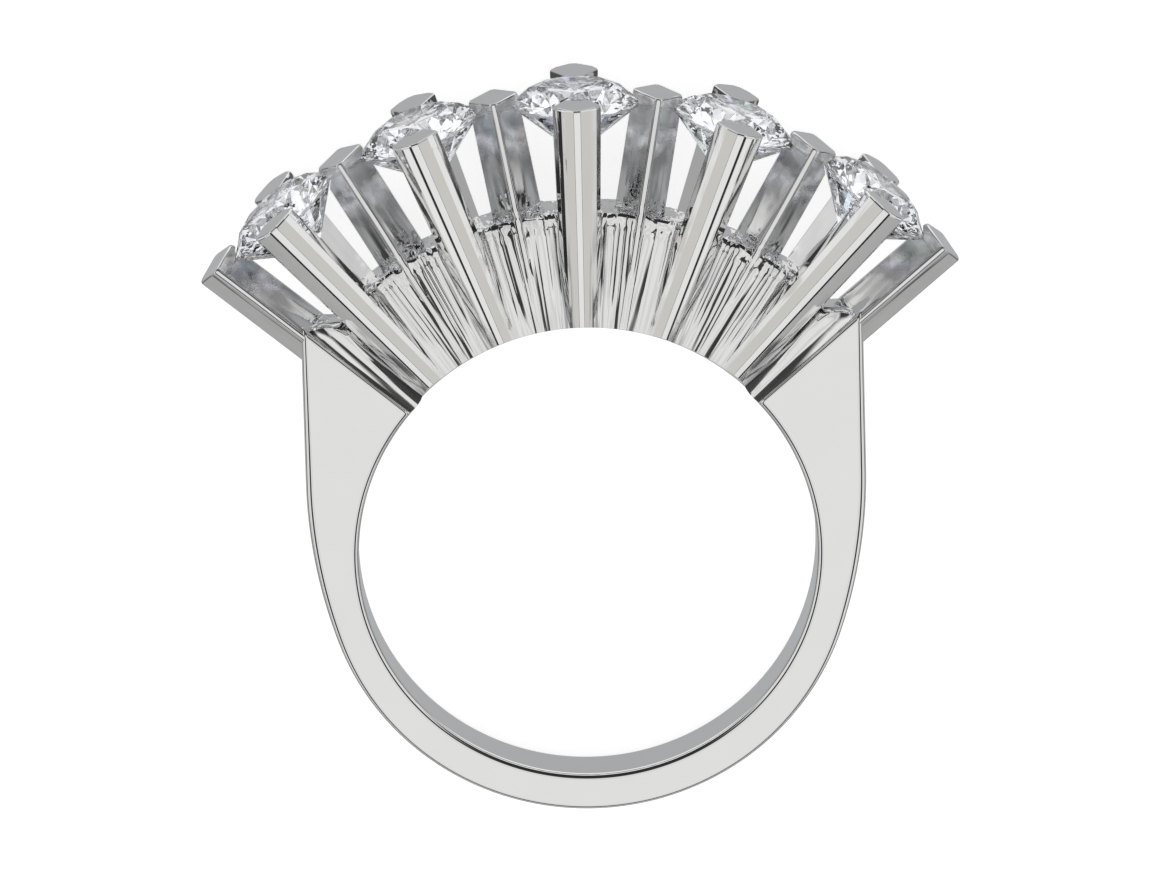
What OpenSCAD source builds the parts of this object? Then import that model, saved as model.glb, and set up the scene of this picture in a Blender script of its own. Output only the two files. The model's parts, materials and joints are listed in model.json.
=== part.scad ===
// Five-stone ring: a fan of square bars rises from a flat-faced band and holds
// five round brilliants, each between a front and a back prong bar and two
// middle bars. It lies on its side, as a ring does on a table.
// Each shape is drawn upright, seen from the front: X to the right, Y from the
// finger hole's centre to the fan, Z towards the viewer, in millimetres.
// A bearing is the angle round the hole from +Y, positive to the right.

/* [Finger hole and band] */
// Radius of the finger hole
hole_r = 8.6; // [8.3:0.1:9]
// Depth of the band, front face to back face
band_depth = 2.5; // [2.3:0.1:2.8]
// Metal at the bottom of the band, hole to outside
bottom_wall = 1.4; // [1.2:0.1:1.8]
// Half of the width across the straight shoulders
shoulder_x = 10.5; // [10.3:0.1:11]
// Rounding of the hole's edges
hole_round = 0.28; // [0.15:0.01:0.35]
// Bevel of the band's outer edges
outer_bevel = 0.16; // [0.1:0.01:0.25]

/* [Fan] */
// Angle between neighbouring bars
bar_step = 10; // [9.8:0.1:10.2]
// Reach of the middle bars from the hole's centre
middle_reach = 17.78; // [17.6:0.02:17.9]
// Reach of the prong bars from the hole's centre
prong_reach = 17.72; // [17.5:0.02:17.8]
// Top edge of the solid web between the bars
web_top_r = 13.2; // [12.6:0.1:13.6]

/* [Middle bars] */
// Width of a middle bar across its side corners
middle_w = 1.86; // [1.7:0.02:1.94]
// Depth of a middle bar, front ridge to back ridge
middle_depth = 2.42; // [2.2:0.02:2.46]
// Width of the flat strip on a middle bar's ridges
middle_ridge_w = 0.2; // [0.1:0.02:0.3]
// Height of the small flat on a middle bar's side corners
middle_side_flat = 0.24; // [0.1:0.02:0.4]

/* [Prong bars] */
// Width of a prong bar at its tip
prong_tip_w = 1.82; // [1.7:0.02:1.9]
// Width of a prong bar at the finger hole
prong_foot_w = 1.36; // [1.2:0.02:1.5]
// Distance of a tip's outer ridge from the ring's middle plane
prong_tip_out = 3.52; // [3.3:0.02:3.7]
// Distance of a foot's outer ridge from the ring's middle plane
prong_foot_out = 1.2; // [1.1:0.02:1.24]
// How far a tip's outer corners lie behind its ridge
prong_roof = 0.68; // [0.5:0.02:0.8]
// Distance of a tip's inner face from the ring's middle plane
prong_tip_in = 1.52; // [1.45:0.01:1.6]

/* [Stones] */
// Girdle diameter of a stone
stone_d = 4.68; // [4.6:0.02:4.8]
// Height of the girdle plane over the hole's centre
girdle_r = 17.15; // [17.1:0.01:17.2]
// Table width as a share of the stone's diameter
table_share = 0.58; // [0.55:0.01:0.62]
// Angle of the crown's main facets
crown_angle = 31.5; // [30.5:0.5:33]
// Angle of the pavilion's main facets
pavilion_angle = 38.2; // [37.8:0.2:39.4]
// Thickness of the girdle
girdle_h = 0.2; // [0.14:0.02:0.24]
// Gap between a stone and its seat
seat_gap = 0.03; // [0.02:0.01:0.05]

/* [Hidden] */

// Bearings of the five stones and of the six middle bars
stone_bearings = [for (i = [-2:2]) 2 * i * bar_step];
middle_bearings = [for (i = [-2.5:2.5]) 2 * i * bar_step];
fan_edge = 5 * bar_step;

// Half depth of the band, and its outer radius below the hole
band_half = band_depth / 2;
band_r = hole_r + bottom_wall;
// The side arcs start on the lower arc and end upright at this height
shoulder_y = 3;
side_arc_r = ((band_r * band_r - shoulder_x * shoulder_x) - shoulder_y * shoulder_y)
    / (2 * (band_r - shoulder_x));
side_arc_x = side_arc_r - shoulder_x;
side_arc_bearing = 90 + atan(shoulder_y / side_arc_x);
side_end_bearing = atan(shoulder_x / shoulder_y);

// The band's two ends reach a little into the fan
band_steps = 72;
band_first = fan_edge - 0.15;
band_core_r = hole_r - 0.6;
// Middle corner of the two-step outer bevel, as a share of the bevel
bevel_mid = 0.3;

// Bars start inside the finger hole, where the bore trims them
foot_r = hole_r - 0.4;
prong_ridge_w = [0.2, 0.26];
prong_side_flat = 0.16;
prong_inner_w = [0.5, 0.64];
prong_tip_depth = prong_tip_out - prong_tip_in;
foot_scale = prong_foot_w / prong_tip_w;

// Half depth of the web beside a middle bar, and beside the prong bars at its foot and top
web_ridge = middle_depth / 2 - 0.1;
web_valley = [0.88, 1];

// Rim of the fan, where a long bevel runs into the finger hole between the outermost middle bars
rim_wall = 0.9;
rim_bevel_out = 0.3;
rim_edge = fan_edge - 7;
fan_depth = 2 * prong_tip_out;
// How far a cutter reaches past the metal that it trims
cut_past = 0.5;

// Brilliant: radii, and heights measured from the edges of the girdle
half_turn = 22.5;
stone_r = stone_d / 2;
table_r = stone_r * table_share;
crown_h = (stone_r - table_r) * tan(crown_angle);
star_share = 0.52;
star_r = table_r * cos(half_turn) + star_share * (stone_r - table_r * cos(half_turn));
star_h = (stone_r - star_r * cos(half_turn)) * tan(crown_angle);
lower_r = 0.22 * stone_r;
lower_h = (stone_r - lower_r * cos(half_turn)) * tan(pavilion_angle);
culet_h = stone_r * tan(pavilion_angle);
// Seat: height that gives the gap under the sloping pavilion
seat_drop = seat_gap / cos(pavilion_angle);

// The ring rests on the outermost back prongs and on the foot of the band
rest_tilt = atan((prong_tip_out - band_half)
    / (prong_reach * cos(4 * bar_step) + band_r - outer_bevel));

// Point at distance r from the hole's centre on a bearing, moved u across it and z forward
function fan_point(r, bearing, u, z) =
    [r * sin(bearing) + u * cos(bearing), r * cos(bearing) - u * sin(bearing), z];

// Outer radius of the band on a bearing between 0 and 180
function band_outer(b) =
    b < side_end_bearing ? shoulder_x / sin(b)
    : b < side_arc_bearing ? side_radius(b)
    : band_r;
// Where a ray from the hole's centre meets the side arc
function side_radius(b) =
    let (along = shoulder_y * cos(b) - side_arc_x * sin(b))
    along + sqrt(along * along + side_arc_r * side_arc_r
        - side_arc_x * side_arc_x - shoulder_y * shoulder_y);

// Solid through a list of closed sections with the same number of points, ends closed
module loft(sections) {
    n = len(sections[0]);
    m = len(sections);
    sides = [for (i = [0:m - 2], j = [0:n - 1])
        [i * n + j, i * n + (j + 1) % n, (i + 1) * n + (j + 1) % n, (i + 1) * n + j]];
    triangles = [for (q = sides, half = [0, 1])
        half == 0 ? [q[0], q[1], q[2]] : [q[0], q[2], q[3]]];
    ends = [[for (j = [n - 1:-1:0]) j], [for (j = [0:n - 1]) (m - 1) * n + j]];
    polyhedron(points = [for (s = sections, p = s) p], faces = concat(triangles, ends));
}

// One section of the band on a bearing measured to the right from the fan
function band_section(b) =
    let (r = band_outer(min(b, 360 - b)), c = outer_bevel, z = band_half)
    [for (p = [[band_core_r, z], [r - c, z], [r - bevel_mid * c, z - bevel_mid * c],
        [r, z - c], [r, c - z], [r - bevel_mid * c, bevel_mid * c - z],
        [r - c, -z], [band_core_r, -z]])
        fan_point(p[0], b, 0, p[1])];

// The band from one end of the fan round to the other, before the finger hole is cut
module band_blank() {
    step = (360 - 2 * band_first) / band_steps;
    loft([for (i = [0:band_steps]) band_section(band_first + i * step)]);
}

// Web between the bars: low ridges at the middle bars, shallow valleys beside the prongs
module web_blank() {
    half_bays = [for (i = [-fan_edge:bar_step / 2:fan_edge + 0.01]) i];
    function depth(b, end) =
        let (from_middle = abs((b + fan_edge) % (2 * bar_step)),
            share = min(from_middle, 2 * bar_step - from_middle) / bar_step)
        web_ridge + (web_valley[end] - web_ridge) * min(1, 2 * share);
    loft([for (b = half_bays)
        [fan_point(foot_r, b, 0, depth(b, 0)), fan_point(web_top_r, b, 0, depth(b, 1)),
            fan_point(web_top_r, b, 0, -depth(b, 1)), fan_point(foot_r, b, 0, -depth(b, 0))]]);
}

// Middle bar: a straight bar of blunted diamond section
module middle_bar(bearing) {
    w = middle_w / 2;
    d = middle_depth / 2;
    outline = [[middle_ridge_w / 2, d], [w, middle_side_flat / 2],
        [w, -middle_side_flat / 2], [middle_ridge_w / 2, -d],
        [-middle_ridge_w / 2, -d], [-w, -middle_side_flat / 2],
        [-w, middle_side_flat / 2], [-middle_ridge_w / 2, d]];
    loft([for (r = [middle_reach, foot_r])
        [for (p = outline) fan_point(r, bearing, p[0], p[1])]]);
}

// Corners of a prong bar's section at its foot or tip: offset across, distance forward
function prong_outline(end) =
    let (w = (end == 0 ? prong_foot_w : prong_tip_w) / 2,
        k = end == 0 ? foot_scale : 1,
        out = end == 0 ? prong_foot_out : prong_tip_out,
        ridge = prong_ridge_w[end] / 2,
        inner = prong_inner_w[end] / 2)
    [[ridge, out], [w, out - prong_roof * k], [w, out - (prong_roof + prong_side_flat) * k],
        [inner, out - prong_tip_depth * k], [-inner, out - prong_tip_depth * k],
        [-w, out - (prong_roof + prong_side_flat) * k], [-w, out - prong_roof * k],
        [-ridge, out]];

// Prong bar on a bearing, in front of the stones or mirrored behind them
module prong_bar(bearing, side) {
    sections = [for (end = [1, 0])
        [for (p = prong_outline(end))
            fan_point(end == 0 ? foot_r : prong_reach, bearing, side * p[0], side * p[1])]];
    loft(sections);
}

// Rounds one edge of the finger hole
module hole_rounding() {
    rotate_extrude($fn = 180)
        translate([hole_r, band_half - hole_round])
            difference() {
                translate([-cut_past, 0])
                    square([hole_round + cut_past, hole_round + cut_past]);
                translate([hole_round, 0])
                    circle(r = hole_round, $fn = 96);
            }
}

// Long bevel that opens the finger hole's edge under the fan
module fan_rim_bevel() {
    start_z = rim_wall / 2;
    run = fan_depth - start_z;
    slope = rim_bevel_out / (band_half - start_z);
    rotate([0, 0, 90 - rim_edge])
        rotate_extrude(angle = 2 * rim_edge, $fn = 180)
            polygon([[foot_r - cut_past, start_z], [hole_r, start_z],
                [hole_r + slope * run, fan_depth], [foot_r - cut_past, fan_depth]]);
}

// Space that a stone takes in the metal, with its gap
module stone_seat() {
    g = seat_gap;
    top = girdle_h / 2 + g;
    bottom = -girdle_h / 2 - seat_drop;
    rotate_extrude($fn = 96)
        polygon([[0, bottom - culet_h], [lower_r, bottom - lower_h],
            [stone_r + g, bottom + g * tan(pavilion_angle)], [stone_r + g, top - g / 2],
            [star_r + g, top + star_h], [table_r + g, top + crown_h], [0, top + crown_h]]);
}

// Places something that stands on +Z at a stone's girdle, its axis along the bearing
module at_stone(bearing) {
    rotate([0, 0, -bearing])
        translate([0, girdle_r, 0])
            rotate([-90, 0, 0])
                children();
}

// Lays the upright ring on its side, back prongs down
module lay_down() {
    rotate([rest_tilt, 0, 0])
        children();
}

// Finger hole, with both of its edges rounded
module finger_hole() {
    cylinder(h = 3 * fan_depth, r = hole_r, center = true, $fn = 180);
    for (side = [0, 1]) mirror([0, 0, side]) hole_rounding();
}

// Flat-faced band, open under the fan
module band() {
    difference() {
        band_blank();
        finger_hole();
    }
}

// Web and all bars, with the stones' seats
module fan() {
    difference() {
        union() {
            web_blank();
            for (b = middle_bearings) middle_bar(b);
            for (b = stone_bearings, side = [1, -1]) prong_bar(b, side);
        }
        finger_hole();
        for (side = [0, 1]) mirror([0, 0, side]) fan_rim_bevel();
        for (b = stone_bearings) at_stone(b) stone_seat();
    }
}

// Band and fan, soldered into one piece
module ring_body() {
    color("silver")
        lay_down()
            union() {
                band();
                fan();
            }
}

// Ring of eight or sixteen points, the first one turned by start
function stone_ring(n, r, start, z) =
    [for (i = [0:n - 1]) [r * cos(start + i * 360 / n), r * sin(start + i * 360 / n), z]];

// Round brilliant, table up, its girdle at z = 0
module brilliant() {
    g = girdle_h / 2;
    points = concat(stone_ring(8, table_r, 0, g + crown_h),
        stone_ring(8, star_r, half_turn, g + star_h),
        stone_ring(16, stone_r, 0, g), stone_ring(16, stone_r, 0, -g),
        stone_ring(8, lower_r, half_turn, -g - lower_h), [[0, 0, -g - culet_h]]);
    star = 8;
    top = 16;
    bottom = 32;
    lower = 48;
    culet = 56;
    table = [[for (i = [7:-1:0]) i]];
    facets = [for (i = [0:7])
        let (next = (i + 1) % 8, prev = (i + 7) % 8, a = 2 * i, b = 2 * i + 1, c = (2 * i + 2) % 16)
        [[i, next, star + i],
            [i, star + i, top + a, star + prev],
            [star + i, top + b, top + a],
            [star + i, top + c, top + b],
            [top + a, top + b, bottom + b, bottom + a],
            [top + b, top + c, bottom + c, bottom + b],
            [bottom + a, bottom + b, lower + i],
            [bottom + b, bottom + c, lower + i],
            [bottom + a, lower + i, culet, lower + prev]]];
    polyhedron(points = points, faces = concat(table, [for (f = facets, g = f) g]));
}

// One stone in its seat, turned a little about its own axis as stones are
module stone(index) {
    turns = [6, -9, 3, 12, -5];
    color("lightcyan")
        lay_down()
            at_stone(stone_bearings[index - 1])
                rotate([0, 0, turns[index - 1]])
                    brilliant();
}

ring_body();
stone(1);  // stone_1
stone(2);  // stone_2
stone(3);  // stone_3
stone(4);  // stone_4
stone(5);  // stone_5
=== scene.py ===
"""Looks of the five-stone ring: polished metal, cut stones, studio and camera."""

import json
import math
import random

import bmesh
import bpy
from bpy.props import FloatProperty, FloatVectorProperty, PointerProperty
from mathutils import Matrix, Vector, noise


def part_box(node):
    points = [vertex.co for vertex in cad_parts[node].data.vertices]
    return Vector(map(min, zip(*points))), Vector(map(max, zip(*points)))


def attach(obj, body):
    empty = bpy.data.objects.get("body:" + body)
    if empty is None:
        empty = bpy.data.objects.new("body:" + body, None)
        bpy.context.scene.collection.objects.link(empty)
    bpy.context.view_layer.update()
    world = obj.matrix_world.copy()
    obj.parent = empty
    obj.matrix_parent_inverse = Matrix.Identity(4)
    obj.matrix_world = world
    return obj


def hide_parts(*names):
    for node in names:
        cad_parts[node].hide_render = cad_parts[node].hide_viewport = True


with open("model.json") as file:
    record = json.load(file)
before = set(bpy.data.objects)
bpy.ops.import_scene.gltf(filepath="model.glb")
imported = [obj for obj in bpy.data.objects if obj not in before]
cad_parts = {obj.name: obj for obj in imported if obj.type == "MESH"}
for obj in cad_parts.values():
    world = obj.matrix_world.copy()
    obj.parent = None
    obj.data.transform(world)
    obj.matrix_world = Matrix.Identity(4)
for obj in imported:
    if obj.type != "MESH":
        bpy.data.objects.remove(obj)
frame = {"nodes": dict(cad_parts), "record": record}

bl_info = {
    "name": "Five-Stone Ring",
    "version": (1, 0, 0),
    "blender": (4, 5, 0),
    "location": "View3D > Sidebar > Ring",
    "description": "Builds the metal and the stones of a fan-shaped ring, and a pale studio",
    "category": "Add Mesh",
}

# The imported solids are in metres; shapes are worked out in millimetres, upright:
# X to the right, Y from the finger hole to the fan, Z to whoever looks at the front.
MM = 0.001
BORE = next(m for m in frame["record"]["mounts"] if m["name"] == "finger_bore")
REST_TILT = math.atan2(-BORE["axis"][1], BORE["axis"][2])
LAY_DOWN = Matrix.Rotation(REST_TILT, 4, "X") @ Matrix.Scale(MM, 4)
FLOOR_Z = min(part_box(name)[0].z for name in frame["nodes"])
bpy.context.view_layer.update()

# Bearings from the middle of the fan, and each stone's turn about its own axis, in degrees.
STONE_BEARINGS = (-40, -20, 0, 20, 40)
MIDDLE_BEARINGS = (-50, -30, -10, 10, 30, 50)
STONE_TURNS = (6, -9, 3, 12, -5)
FAN_EDGE = 50.0
BAR_STEP, PAIR_STEP = 10, 20
# Bars and web start inside the finger hole, and its cutter trims them.
FOOT_R = 8.2


# Settings

def length_setting(name, description, millimetres, low, high):
    """A size that the user can change, kept in metres."""
    return FloatProperty(
        name=name, description=description, default=millimetres * MM,
        min=low * MM, max=high * MM, precision=5, subtype="DISTANCE", unit="LENGTH")


def colour_setting(name, description, colour):
    """A colour that the user can change."""
    return FloatVectorProperty(
        name=name, description=description, default=colour, size=3,
        min=0.0, max=1.0, subtype="COLOR")


class RingSizes(bpy.types.PropertyGroup):
    hole_radius: length_setting(
        "Finger hole radius", "Radius of the round hole for the finger",
        BORE["dims"]["r_mm"], 8.3, 9.0)
    band_depth: length_setting(
        "Band depth", "Depth of the band from its front face to its back face", 2.5, 2.3, 2.8)
    bottom_wall: length_setting(
        "Bottom wall", "Metal between the hole and the outside at the band's foot", 1.4, 1.2, 1.8)
    shoulder_x: length_setting(
        "Shoulder half width", "Half of the width across the straight shoulders", 10.5, 10.3, 11)
    middle_reach: length_setting(
        "Middle bar reach", "Reach of the middle bars from the hole's centre", 17.78, 17.6, 17.9)
    prong_reach: length_setting(
        "Prong bar reach", "Reach of the prong bars from the hole's centre", 17.72, 17.5, 17.8)
    edge_radius: length_setting(
        "Edge rounding", "Radius of the polished edges of the bars", 0.05, 0.02, 0.1)
    flute_height: length_setting(
        "Flute height", "Height of the fine radial flutes on the web", 0.042, 0.0, 0.06)
    stone_diameter: length_setting(
        "Stone diameter", "Girdle diameter of each stone", 4.68, 4.6, 4.8)
    stone_height: length_setting(
        "Stone height", "Height of the girdles over the hole's centre", 17.15, 17.1, 17.2)


class RingFinish(bpy.types.PropertyGroup):
    metal: colour_setting(
        "Metal", "Colour of the polished white metal", (0.86, 0.858, 0.85))
    metal_shade: colour_setting(
        "Metal shade", "Second metal colour, in faint patches", (0.82, 0.82, 0.818))
    stone: colour_setting("Stone", "Colour of the clear stones", (0.985, 0.99, 1.0))
    # Painted fire: rainbow colour on single facets stands in for light split by the stones.
    fire: FloatProperty(
        name="Fire", description="How strongly single facets take a rainbow tint",
        default=0.4, min=0.0, max=1.0, subtype="FACTOR")
    polish: FloatProperty(
        name="Polish", description="Roughness of the mirror polish", default=0.025,
        min=0.0, max=0.3, subtype="FACTOR")


class RingStudio(bpy.types.PropertyGroup):
    floor: colour_setting("Floor", "Colour of the studio floor", (0.95, 0.95, 0.95))
    glow: FloatProperty(
        name="Floor light", description="Light that keeps the floor pale under the ring",
        default=0.86, min=0.0, max=2.0)
    light: FloatProperty(
        name="Tent light", description="Strength of the soft light from all round",
        default=1.0, min=0.0, max=4.0)


# Mesh tools

# Edges that turn by more than this many degrees stay sharp.
BAND_SHARP, FAN_SHARP = 30, 26
# Largest share of an outline's side that the arc at its end takes.
ARC_SHARE = 0.48


def fan_point(r, bearing, across, forward):
    """Point at distance r from the hole's centre on a bearing, in millimetres."""
    b = math.radians(bearing)
    return Vector((r * math.sin(b) + across * math.cos(b),
                   r * math.cos(b) - across * math.sin(b), forward))


def blend(a, b, share):
    """Value between a and b."""
    return a + (b - a) * share


def soft_step(x):
    """Smooth 0 to 1."""
    x = min(1.0, max(0.0, x))
    return x * x * (3 - 2 * x)


def rounded_outline(corners, radii, steps):
    """Closed outline whose corners are arcs of the given radii."""
    outline = []
    count = len(corners)
    for i, (corner, radius) in enumerate(zip(corners, radii)):
        here = Vector(corner)
        before, after = Vector(corners[i - 1]) - here, Vector(corners[(i + 1) % count]) - here
        half = before.angle(after) / 2
        reach = min(radius / math.tan(half), ARC_SHARE * before.length, ARC_SHARE * after.length)
        before.normalize()
        after.normalize()
        centre = here + (before + after).normalized() * reach / math.cos(half)
        start, end = here + before * reach - centre, here + after * reach - centre
        outline += [centre + start.slerp(end, k / steps) * start.length
                    for k in range(steps + 1)]
    return outline


def loft(sections):
    """Points and faces through sections with the same number of points, capped at the ends."""
    size, count = len(sections[0]), len(sections)
    points = [p for s in sections for p in s]
    last = (count - 1) * size
    faces = []
    for low in range(0, last, size):
        faces += [(low + j, low + (j + 1) % size, low + size + (j + 1) % size, low + size + j)
                  for j in range(size)]
    faces += [tuple(range(size - 1, -1, -1)), tuple(range(last, last + size))]
    return points, faces


def solid(name, points, faces):
    """Object with outward faces, linked to the scene."""
    mesh = bpy.data.meshes.new(name)
    mesh.from_pydata([tuple(p) for p in points], [], faces)
    work = bmesh.new()
    work.from_mesh(mesh)
    bmesh.ops.recalc_face_normals(work, faces=work.faces)
    work.to_mesh(mesh)
    work.free()
    piece = bpy.data.objects.new(name, mesh)
    bpy.context.scene.collection.objects.link(piece)
    return piece


def apply_modifiers(piece):
    """Replaces a piece's mesh with what its modifiers make of it."""
    bpy.context.view_layer.update()
    depsgraph = bpy.context.evaluated_depsgraph_get()
    mesh = bpy.data.meshes.new_from_object(
        piece.evaluated_get(depsgraph), preserve_all_data_layers=True, depsgraph=depsgraph)
    mesh.name = piece.name
    piece.modifiers.clear()
    old, piece.data = piece.data, mesh
    bpy.data.meshes.remove(old)


def merge(base, operation, tools):
    """Joins or cuts base with a list of tool objects, and removes them."""
    group = bpy.data.collections.new("tools")
    bpy.context.scene.collection.children.link(group)
    for tool in tools:
        group.objects.link(tool)
    step = base.modifiers.new("merge", "BOOLEAN")
    step.operation, step.solver = operation, "MANIFOLD"
    step.operand_type, step.collection = "COLLECTION", group
    apply_modifiers(base)
    for tool in tools:
        bpy.data.meshes.remove(tool.data)
    bpy.data.collections.remove(group)


def split_faces(piece):
    """Splits the faces that cutting leaves into well-shaped triangles."""
    work = bmesh.new()
    work.from_mesh(piece.data)
    bmesh.ops.triangulate(work, faces=work.faces, quad_method="BEAUTY", ngon_method="BEAUTY")
    work.to_mesh(piece.data)
    work.free()


def polish_shading(piece, sharp_angle):
    """Flat facets stay flat and small roundings shade smoothly."""
    piece.data.shade_smooth()
    piece.data.set_sharp_from_angle(angle=math.radians(sharp_angle))
    weighted = piece.modifiers.new("facets", "WEIGHTED_NORMAL")
    weighted.keep_sharp, weighted.weight, weighted.mode = True, 100, "FACE_AREA"
    apply_modifiers(piece)


def put_in_place(piece, slot, material, *nodes):
    """Lays an upright piece on its side, gives it its material, hangs it under the root body and
    hides the imported parts it replaces.
    """
    piece.data.transform(LAY_DOWN)
    piece.data.materials.clear()
    piece.data.materials.append(material)
    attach(piece, "root")
    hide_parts(*nodes)


# Shader tools

class Signal:
    """A value socket; expressions on it add Math nodes."""

    def __init__(self, bench, socket):
        self.bench, self.socket = bench, socket

    def _math(self, operation, *values):
        return self.bench.add("ShaderNodeMath", {"operation": operation},
                              dict(enumerate(values))).signal()

    def __add__(self, other):
        return self._math("ADD", self, other)

    def __sub__(self, other):
        return self._math("SUBTRACT", self, other)

    def __rsub__(self, other):
        return self._math("SUBTRACT", other, self)

    def __mul__(self, other):
        return self._math("MULTIPLY", self, other)

    def __truediv__(self, other):
        return self._math("DIVIDE", self, other)

    def __rtruediv__(self, other):
        return self._math("DIVIDE", other, self)

    def __pow__(self, other):
        return self._math("POWER", self, other)

    def __rpow__(self, other):
        return self._math("POWER", other, self)

    def __abs__(self):
        return self._math("ABSOLUTE", self)

    __radd__, __rmul__ = __add__, __mul__

    def fold(self, scale):
        """Runs from 0 up to scale and back down, over and over."""
        return self._math("PINGPONG", self, scale)

    def wrap(self, scale):
        """Runs from 0 up to scale and starts again."""
        return self._math("MODULO", self, scale)

    def step(self, low, high):
        """0 below low, 1 above high, smooth between."""
        return self.bench.add(
            "ShaderNodeMapRange", {"interpolation_type": "SMOOTHSTEP"},
            {"Value": self, "From Min": low, "From Max": high}).signal("Result")

    def fall(self, low, high):
        """1 below low, 0 above high, smooth between."""
        return 1 - self.step(low, high)

    def arc_step(self, low, high):
        """Step of an angle, with its limits in degrees."""
        return self.step(math.radians(low), math.radians(high))

    def arc_fall(self, low, high):
        """Fall of an angle, with its limits in degrees."""
        return self.fall(math.radians(low), math.radians(high))

    def over(self, share):
        """This share and another one together, never past 1."""
        return self + (1 - self) * share


class Bench:
    """Adds nodes to one tree."""

    def __init__(self, tree):
        self.tree = tree
        tree.nodes.clear()

    def add(self, kind, settings=None, sockets=None):
        """Node of a kind: its settings first, then the values or links of its sockets."""
        node = self.tree.nodes.new(kind)
        for name, value in (settings or {}).items():
            if name == "stops":
                self._set_stops(node.color_ramp, value)
            else:
                setattr(node, name, value)
        for name, value in (sockets or {}).items():
            if isinstance(value, Signal):
                self.tree.links.new(value.socket, node.inputs[name])
            elif isinstance(value, bpy.types.NodeSocket):
                self.tree.links.new(value, node.inputs[name])
            else:
                node.inputs[name].default_value = value
        return Placed(self, node)

    @staticmethod
    def _set_stops(ramp, stops):
        while len(ramp.elements) < len(stops):
            ramp.elements.new(0.5)
        for element, (position, colour) in zip(ramp.elements, sorted(stops)):
            element.position = position
            element.color = colour if hasattr(colour, "__len__") else (colour, colour, colour, 1)


class Placed:
    """A node on the bench, with its outputs at hand."""

    def __init__(self, bench, node):
        self.bench, self.node = bench, node

    def out(self, name=0):
        """Output socket for colours and vectors."""
        return self.node.outputs[name]

    def signal(self, name=0):
        """Output socket as a value for expressions."""
        return Signal(self.bench, self.node.outputs[name])


def mix_colours(bench, share, first, second):
    """Colour between two colours."""
    return bench.add("ShaderNodeMix", {"data_type": "RGBA"},
                     {0: share, 6: first, 7: second}).out(2)


def dot(bench, vector, direction):
    """Component of a vector along a fixed direction."""
    return bench.add("ShaderNodeVectorMath", {"operation": "DOT_PRODUCT"},
                     {0: vector, 1: direction}).signal("Value")


def rgba(colour):
    """Colour with full opacity."""
    return (*colour, 1.0)


# Finishes

WHITE = (1.0, 1.0, 1.0, 1.0)
# Greys that painted shade and painted dark reflections give the metal, and heights of the marks in
# millimetres.
PAINTED_SHADE_GREY = (0.42, 0.42, 0.425, 1.0)
PAINTED_REFLECTION_BLACK = (0.05, 0.05, 0.055, 1.0)
RIPPLE_HEIGHT, CRUMPLE_HEIGHT = 0.09, 0.07
DIAMOND_IOR, GROUND_ROUGHNESS = 2.417, 0.35


def ring_coordinates(bench):
    """Across, up and forward in the upright ring, in millimetres."""
    place = bench.add("ShaderNodeTexCoord").out("Object")
    up = (0.0, math.cos(REST_TILT) / MM, math.sin(REST_TILT) / MM)
    forward = (0.0, -math.sin(REST_TILT) / MM, math.cos(REST_TILT) / MM)
    return (dot(bench, place, (1 / MM, 0.0, 0.0)), dot(bench, place, up),
            dot(bench, place, forward))


class MetalPlace:
    """Places on the metal in millimetres and radians, and noise that follows them."""

    def __init__(self, bench):
        self.bench = bench
        self.across, self.up, self.forward = ring_coordinates(bench)
        self.radius = (self.across * self.across + self.up * self.up) ** 0.5
        self.bearing = bench.add("ShaderNodeMath", {"operation": "ARCTAN2"},
                                 {0: self.across, 1: self.up}).signal()

    def _noise(self, x, y, z, scale, detail):
        point = self.bench.add("ShaderNodeCombineXYZ", None, {"X": x, "Y": y, "Z": z}).out()
        return self.bench.add("ShaderNodeTexNoise", {"noise_dimensions": "3D"},
                              {"Vector": point, "Scale": scale, "Detail": detail}).signal("Fac")

    def clouds(self, scale, detail=1.0):
        """Clouds that change alike in every direction."""
        return self._noise(self.across, self.up, self.forward, scale, detail)

    def rays(self, turn, outward, deep, scale=1.0, detail=1.0):
        """Streaks from the finger hole outward: how fast they change in each direction."""
        return self._noise(self.bearing * turn, self.radius * outward, self.forward * deep,
                           scale, detail)


def polished_metal(name, finish, wave, streak, marks=None):
    """Mirror-polished white metal with radial polishing lines and a soft waviness.

    A function for marks can add to its colour, roughness and height.
    """
    material = bpy.data.materials.new(name)
    material.use_nodes = True
    bench = Bench(material.node_tree)
    place = MetalPlace(bench)
    patches = place.clouds(0.45, detail=2.0)
    specks = place.clouds(14.0, detail=3.0)
    lines = place.rays(60.0, 0.25, 2.5, scale=1.6, detail=3.0)
    waves = place.rays(14.0, 0.55, 1.3, scale=0.9)
    colour = mix_colours(bench, patches, rgba(finish.metal), rgba(finish.metal_shade))
    rough = finish.polish + 0.02 * specks * patches + 0.02 * lines.step(0.58, 0.75)
    height = waves * wave + lines * streak
    if marks:
        colour, rough, height = marks(place, colour, rough, height)
    bump = bench.add("ShaderNodeBump", None,
                     {"Strength": 1.0, "Distance": MM, "Height": height}).out("Normal")
    shader = bench.add("ShaderNodeBsdfPrincipled", None, {
        "Base Color": colour, "Metallic": 1.0, "Roughness": rough, "Normal": bump})
    bench.add("ShaderNodeOutputMaterial", None, {"Surface": shader.out()})
    return material


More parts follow.
